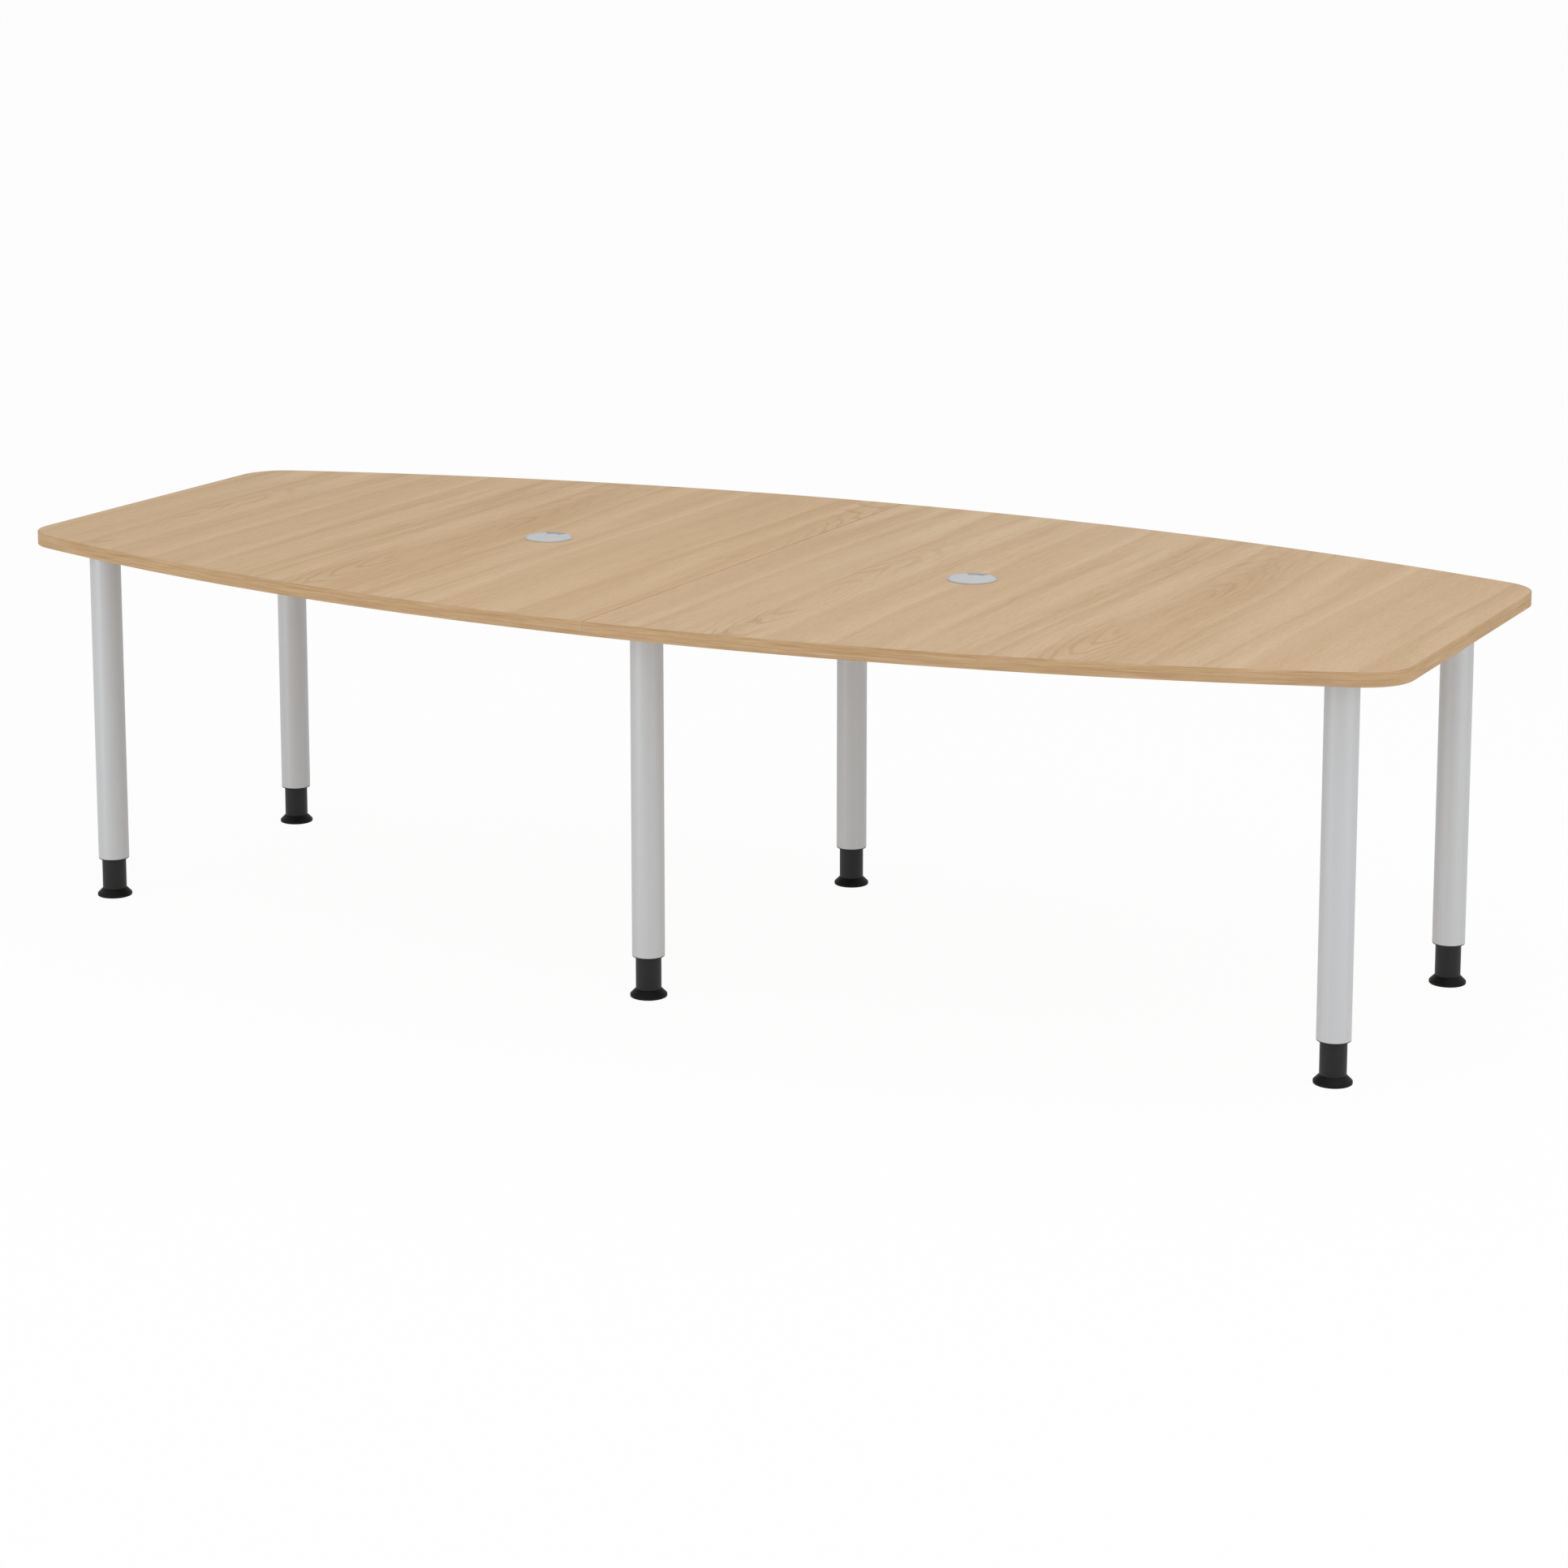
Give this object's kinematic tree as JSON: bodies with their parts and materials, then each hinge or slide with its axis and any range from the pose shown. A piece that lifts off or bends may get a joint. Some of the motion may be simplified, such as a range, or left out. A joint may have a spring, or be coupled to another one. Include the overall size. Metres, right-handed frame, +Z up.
{
  "type": "conference table",
  "caption": "Boat-shaped conference table: wood-grain top in two joined halves, round tube legs with screw-adjusted feet, and cable grommets with turning slotted caps.",
  "frame": {"origin": "on the floor under the middle of the top", "axes": "+X along the table, +Y to the back, +Z up"},
  "size_m": [2.8, 1.3, 0.7428],
  "materials": {
    "board": "light oak grain, matt melamine",
    "edging": "oak-coloured plastic edging",
    "silver_paint": "satin silver powder coat",
    "black_plastic": "moulded, fine grain",
    "grey_plastic": "moulded, light grey",
    "steel": "zinc plated",
    "dowel_wood": "bare beech"
  },
  "bodies": {
    "table": {"top_left": "board", "edge_band_left": "edging", "top_right": "board", "edge_band_right": "edging", "seam_plate_1": "steel", "seam_plate_2": "steel", "seam_dowel_1": "dowel_wood", "seam_dowel_2": "dowel_wood", "seam_dowel_3": "dowel_wood", "seam_dowel_4": "dowel_wood", "leg_head_front_left": "silver_paint", "leg_tube_front_left": "silver_paint", "set_screw_front_left": "steel", "guide_bush_front_left": "black_plastic", "leg_head_back_left": "silver_paint", "leg_tube_back_left": "silver_paint", "set_screw_back_left": "steel", "guide_bush_back_left": "black_plastic", "leg_head_front_middle": "silver_paint", "leg_tube_front_middle": "silver_paint", "set_screw_front_middle": "steel", "guide_bush_front_middle": "black_plastic", "leg_head_back_middle": "silver_paint", "leg_tube_back_middle": "silver_paint", "set_screw_back_middle": "steel", "guide_bush_back_middle": "black_plastic", "leg_head_front_right": "silver_paint", "leg_tube_front_right": "silver_paint", "set_screw_front_right": "steel", "guide_bush_front_right": "black_plastic", "leg_head_back_right": "silver_paint", "leg_tube_back_right": "silver_paint", "set_screw_back_right": "steel", "guide_bush_back_right": "black_plastic", "grommet_sleeve_left": "grey_plastic", "grommet_sleeve_right": "grey_plastic"},
    "stem_front_left": {"foot_stem_front_left": "black_plastic"},
    "foot_front_left": {"foot_front_left": "black_plastic", "foot_spindle_front_left": "steel"},
    "stem_back_left": {"foot_stem_back_left": "black_plastic"},
    "foot_back_left": {"foot_back_left": "black_plastic", "foot_spindle_back_left": "steel"},
    "stem_front_middle": {"foot_stem_front_middle": "black_plastic"},
    "foot_front_middle": {"foot_front_middle": "black_plastic", "foot_spindle_front_middle": "steel"},
    "stem_back_middle": {"foot_stem_back_middle": "black_plastic"},
    "foot_back_middle": {"foot_back_middle": "black_plastic", "foot_spindle_back_middle": "steel"},
    "stem_front_right": {"foot_stem_front_right": "black_plastic"},
    "foot_front_right": {"foot_front_right": "black_plastic", "foot_spindle_front_right": "steel"},
    "stem_back_right": {"foot_stem_back_right": "black_plastic"},
    "foot_back_right": {"foot_back_right": "black_plastic", "foot_spindle_back_right": "steel"},
    "shutter_left": {"grommet_shutter_left": "grey_plastic"},
    "cap_left": {"grommet_cap_left": "grey_plastic"},
    "shutter_right": {"grommet_shutter_right": "grey_plastic"},
    "cap_right": {"grommet_cap_right": "grey_plastic"}
  },
  "joints": [
    {"name": "stem_slide_front_left", "type": "slide", "parent": "table", "child": "stem_front_left", "axis": [0, 0, -1], "range_m": [-0.06, 0]},
    {"name": "foot_turn_front_left", "type": "hinge", "parent": "stem_front_left", "child": "foot_front_left", "pos_m": [-1.273, -0.32, 0], "axis": [0, 0, -1], "range_deg": [-2700, 0]},
    {"name": "stem_slide_back_left", "type": "slide", "parent": "table", "child": "stem_back_left", "axis": [0, 0, -1], "range_m": [-0.06, 0]},
    {"name": "foot_turn_back_left", "type": "hinge", "parent": "stem_back_left", "child": "foot_back_left", "pos_m": [-1.273, 0.32, 0], "axis": [0, 0, -1], "range_deg": [-2700, 0]},
    {"name": "stem_slide_front_middle", "type": "slide", "parent": "table", "child": "stem_front_middle", "axis": [0, 0, -1], "range_m": [-0.06, 0]},
    {"name": "foot_turn_front_middle", "type": "hinge", "parent": "stem_front_middle", "child": "foot_front_middle", "pos_m": [0, -0.42, 0], "axis": [0, 0, -1], "range_deg": [-2700, 0]},
    {"name": "stem_slide_back_middle", "type": "slide", "parent": "table", "child": "stem_back_middle", "axis": [0, 0, -1], "range_m": [-0.06, 0]},
    {"name": "foot_turn_back_middle", "type": "hinge", "parent": "stem_back_middle", "child": "foot_back_middle", "pos_m": [0, 0.42, 0], "axis": [0, 0, -1], "range_deg": [-2700, 0]},
    {"name": "stem_slide_front_right", "type": "slide", "parent": "table", "child": "stem_front_right", "axis": [0, 0, -1], "range_m": [-0.06, 0]},
    {"name": "foot_turn_front_right", "type": "hinge", "parent": "stem_front_right", "child": "foot_front_right", "pos_m": [1.273, -0.32, 0], "axis": [0, 0, -1], "range_deg": [-2700, 0]},
    {"name": "stem_slide_back_right", "type": "slide", "parent": "table", "child": "stem_back_right", "axis": [0, 0, -1], "range_m": [-0.06, 0]},
    {"name": "foot_turn_back_right", "type": "hinge", "parent": "stem_back_right", "child": "foot_back_right", "pos_m": [1.273, 0.32, 0], "axis": [0, 0, -1], "range_deg": [-2700, 0]},
    {"name": "grommet_lift_left", "type": "slide", "parent": "table", "child": "shutter_left", "axis": [0, 0, 1], "range_m": [0, 0.06]},
    {"name": "cap_turn_left", "type": "hinge", "parent": "shutter_left", "child": "cap_left", "pos_m": [-0.45, 0, 0.742], "axis": [0, 0, 1], "continuous": true},
    {"name": "grommet_lift_right", "type": "slide", "parent": "table", "child": "shutter_right", "axis": [0, 0, 1], "range_m": [0, 0.06]},
    {"name": "cap_turn_right", "type": "hinge", "parent": "shutter_right", "child": "cap_right", "pos_m": [0.45, 0, 0.742], "axis": [0, 0, 1], "continuous": true}
  ],
  "couplings": [
    {"joint": "foot_turn_front_left", "follows": "stem_slide_front_left", "rad_per_m": 785.4},
    {"joint": "foot_turn_back_left", "follows": "stem_slide_back_left", "rad_per_m": 785.4},
    {"joint": "foot_turn_front_middle", "follows": "stem_slide_front_middle", "rad_per_m": 785.4},
    {"joint": "foot_turn_back_middle", "follows": "stem_slide_back_middle", "rad_per_m": 785.4},
    {"joint": "foot_turn_front_right", "follows": "stem_slide_front_right", "rad_per_m": 785.4},
    {"joint": "foot_turn_back_right", "follows": "stem_slide_back_right", "rad_per_m": 785.4}
  ]
}
